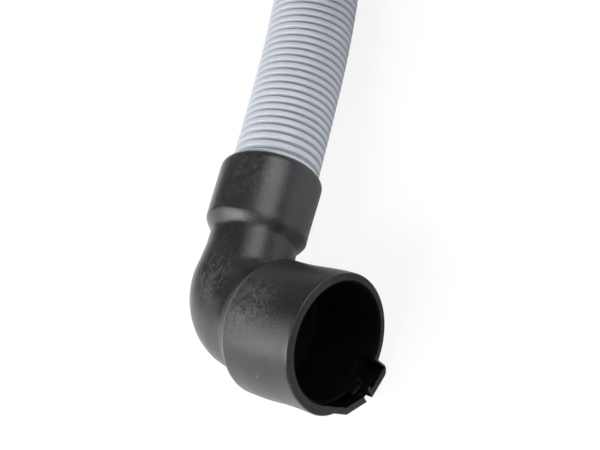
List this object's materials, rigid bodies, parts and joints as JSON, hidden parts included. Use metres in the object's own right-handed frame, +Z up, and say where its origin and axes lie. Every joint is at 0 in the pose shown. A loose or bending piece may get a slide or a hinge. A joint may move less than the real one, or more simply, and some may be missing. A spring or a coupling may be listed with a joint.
{
  "type": "dishwasher drain hose",
  "caption": "Corrugated drain hose with a moulded rubber elbow at one end, whose keyed socket pushes onto an appliance spigot, and a plain rubber cuff at the other.",
  "frame": {"origin": "on the floor the part lies on, under the middle of the elbow", "axes": "+X out of the elbow's socket, +Z up, hose leaving towards +Y"},
  "size_m": [0.2723, 0.4002, 0.0789],
  "materials": {
    "elbow_rubber": "satin black",
    "hose_plastic": "satin light grey",
    "cuff_rubber": "satin black",
    "tie_plastic": "matte black"
  },
  "bodies": {
    "root": {"rubber_elbow": "elbow_rubber", "hose_run": "hose_plastic", "hose_coil": "hose_plastic", "end_cuff": "cuff_rubber", "coil_tie_1": "tie_plastic", "coil_tie_2": "tie_plastic", "coil_tie_3": "tie_plastic"}
  },
  "joints": []
}
